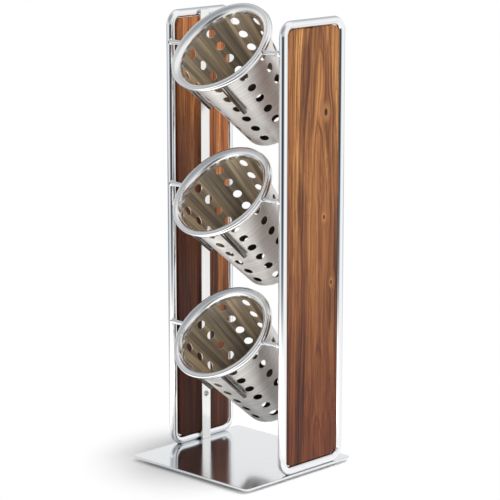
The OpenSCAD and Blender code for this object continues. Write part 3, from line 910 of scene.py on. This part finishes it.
mesh = bpy.data.meshes.new("white_table")
mesh.from_pydata([(-TABLE, -TABLE, 0), (TABLE, -TABLE, 0), (TABLE, TABLE, 0), (-TABLE, TABLE, 0)], [],
                 [(0, 1, 2, 3)])
_, tree, shader = link_stage("white_table", mesh)
feed(tree, shader, {"Base Color": colour("#FBFBFB"), "Roughness": 0.9, "Specular IOR Level": 0.0})
place = add(tree, "TexCoord").outputs["Object"]
reach = add(tree, "VectorMath", {0: place}, operation="LENGTH").outputs["Value"]
far = add(tree, "MapRange", {"Value": reach, "From Min": MATT_TO, "From Max": GLOW_FROM},
          interpolation_type="SMOOTHSTEP")
glow = add(tree, "Emission", {"Color": colour("#FFFFFF"), "Strength": 1.0})
both = add(tree, "MixShader", {0: far, 1: shader, 2: glow})
feed(tree, tree.nodes["Material Output"], {"Surface": both})
print("the table glows from", GLOW_FROM, "m out")

# %% [markdown]
# Metal shows its surroundings more than its lamps, so a dome that only mirrors see stands for
# the room: white, with darker lobes where the room is unlit. Directions are given as an azimuth
# from the camera's and a height: 0 at the table by the holder, 1 at the far floor, 2 overhead.

# %% Room in the mirrors
AZIMUTH, ELEVATION = np.radians(43.84), np.radians(12.04)
ROOM_TURNS, ROOM_RINGS = 144, 24
NEAREST, FAR_FLOOR, ROOM_R = 0.16, 2.2, 6   # metres from the middle
FLOOR_LIFT = 0.002                          # metres above the table
FRONT_FROM, FRONT_SPAN = 0.12, 0.34         # heights over which the room in front darkens
SHADE_TINT = (1.0, 0.95, 0.88)              # powers of the tone that leave its shadows bluish


def lobe(azimuth, height, middle, width, centre, spread):
    """A soft patch of the room, 1 in its middle and 0 outside: azimuths are in degrees."""
    turn = (azimuth - middle + 180) % 360 - 180
    far = np.hypot(turn / width, (height - centre) / spread)
    return np.exp(-far ** 4)


def room_tone(azimuth, height):
    """Brightness of the room: 1, less the darkest lobe, plus the light on the table in front."""
    rise = np.clip((height - FRONT_FROM) / FRONT_SPAN, 0, 1)
    front = rise ** 2 * (3 - 2 * rise) * np.interp(height, [1, 1.06, 1.15, 1.35], [1, 0.5, 0.5, 0])
    floor = np.interp(height, [1, 1.05], [1, 0])
    dark = [0.96 * lobe(azimuth, height, -12, 38, 1, 1) * front,        # the unlit room in front
            0.70 * lobe(azimuth, height, -140, 60, 0.6, 0.6) * floor,   # left edges of the rods
            0.45 * lobe(azimuth, height, 150, 50, 0.65, 0.45) * floor,  # right edges of the rods
            0.50 * lobe(azimuth, height, 180, 70, 1.5, 0.25),           # top edges of the frames
            0.65 * lobe(azimuth, height, -55, 75, 1.5, 0.45)]           # upper side of the lips
    lit = 0.9 * lobe(azimuth, height, -40, 75, 0.1, 0.22) * (1 - front)
    return 1 - np.maximum.reduce(dark) + lit


def lay_out():
    """A floor that widens in even ratios and a dome over it: azimuths, heights and points."""
    turn = np.linspace(0, 2 * np.pi, ROOM_TURNS, endpoint=False)
    reach = np.geomspace(NEAREST, ROOM_R, ROOM_RINGS)
    climb = np.linspace(0, np.pi / 2, ROOM_RINGS)[1:]
    radius = np.concatenate([reach, ROOM_R * np.cos(climb)])
    level = np.concatenate([np.full(ROOM_RINGS, FLOOR_LIFT), ROOM_R * np.sin(climb)])
    height = np.concatenate([np.clip(reach / FAR_FLOOR, 0, 1), 1 + climb / (np.pi / 2)])
    out = np.stack([np.sin(turn), -np.cos(turn)], -1)
    level = np.broadcast_to(level[:, None], (ROOM_TURNS, len(radius), 1))
    return turn, height, np.concatenate([out[:, None] * radius[None, :, None], level], -1)


turn, height, dome = lay_out()
mesh = bpy.data.meshes.new("studio_room")
mesh.from_pydata(dome.reshape(-1, 3).tolist(), [], grid_faces(dome, True, False).tolist())
tone = room_tone(np.degrees(turn - AZIMUTH)[:, None], height[None])
cool = tone[..., None] ** np.array(SHADE_TINT)
mesh.attributes.new("tone", "FLOAT_VECTOR", "POINT").data.foreach_set("vector", cool.ravel())
room, tree, _ = link_stage("studio_room", mesh)
seen = add(tree, "Emission", {"Color": add(tree, "Attribute", attribute_name="tone").outputs["Vector"]})
feed(tree, tree.nodes["Material Output"], {"Surface": seen})
room.visible_camera = room.visible_diffuse = room.visible_shadow = room.visible_transmission = False
print("the room's tone runs from", round(tone.min(), 2), "to", round(tone.max(), 2))

# %% [markdown]
# An even white sky fills the shadows, and one large lamp, high on the camera's right, gives the
# wood its light side. The sky is plain white to the camera and to mirrors, and dimmer as a light.

# %% Sky and lamp
SKY_LIGHT = 0.66
LAMP_SIZE, LAMP_POWER = 2.4, 54                         # metres and watts
LAMP_AT, LAMP_AIM = (1.1, 1.2, 1.8), (0, 0, 0.24)       # metres

world = bpy.data.worlds.new("studio")
bpy.context.scene.world = world
world.use_nodes = True
tree = world.node_tree
rays = add(tree, "LightPath").outputs
seen = add(tree, "Math", {0: rays["Is Camera Ray"], 1: rays["Is Glossy Ray"]}, operation="MAXIMUM")
seen = add(tree, "Math", {0: seen, 1: rays["Is Transmission Ray"]}, operation="MAXIMUM")
level = add(tree, "MapRange", {"Value": seen, "To Min": SKY_LIGHT, "To Max": 1.0})
feed(tree, tree.nodes["Background"], {"Color": colour("#FFFFFF"), "Strength": level})

lamp = bpy.data.lights.new("key_right", "AREA")
lamp.size, lamp.energy = LAMP_SIZE, LAMP_POWER
key = bpy.data.objects.new("key_right", lamp)
key.location = LAMP_AT
key.rotation_euler = (Vector(LAMP_AIM) - key.location).to_track_quat("-Z", "Y").to_euler()
key.visible_glossy = False
bpy.context.scene.collection.objects.link(key)
print("sky", SKY_LIGHT, "and a lamp of", lamp.energy, "W,", round(key.location.length, 2), "m away")

# %% [markdown]
# The camera stands well back at the front right corner, a little above the holder, with a long
# lens. Its place was fitted to the corners of the plate and the ends of the rods.

# %% Camera
LENS, DISTANCE = 160.85, 2.3535
AIM, SLIDE_RIGHT, SLIDE_UP = (0, 0.01975, 0.2405), -0.00504, -0.01293
level = np.cos(ELEVATION)
back = np.array([np.sin(AZIMUTH) * level, -np.cos(AZIMUTH) * level, np.sin(ELEVATION)])
right = np.array([np.cos(AZIMUTH), np.sin(AZIMUTH), 0])
up = np.cross(back, right)
aim = np.array(AIM) + SLIDE_RIGHT * right + SLIDE_UP * up
pose = np.eye(4)
pose[:3] = np.stack([right, up, back, aim + DISTANCE * back], -1)
camera = bpy.data.objects.new("camera", bpy.data.cameras.new("camera"))
camera.data.lens = LENS
camera.matrix_world = Matrix(pose.tolist())
bpy.context.scene.collection.objects.link(camera)
bpy.context.scene.camera = camera
bpy.context.scene.view_settings.view_transform = "Standard"
print("camera at", pose[:3, 3].round(3), "m")
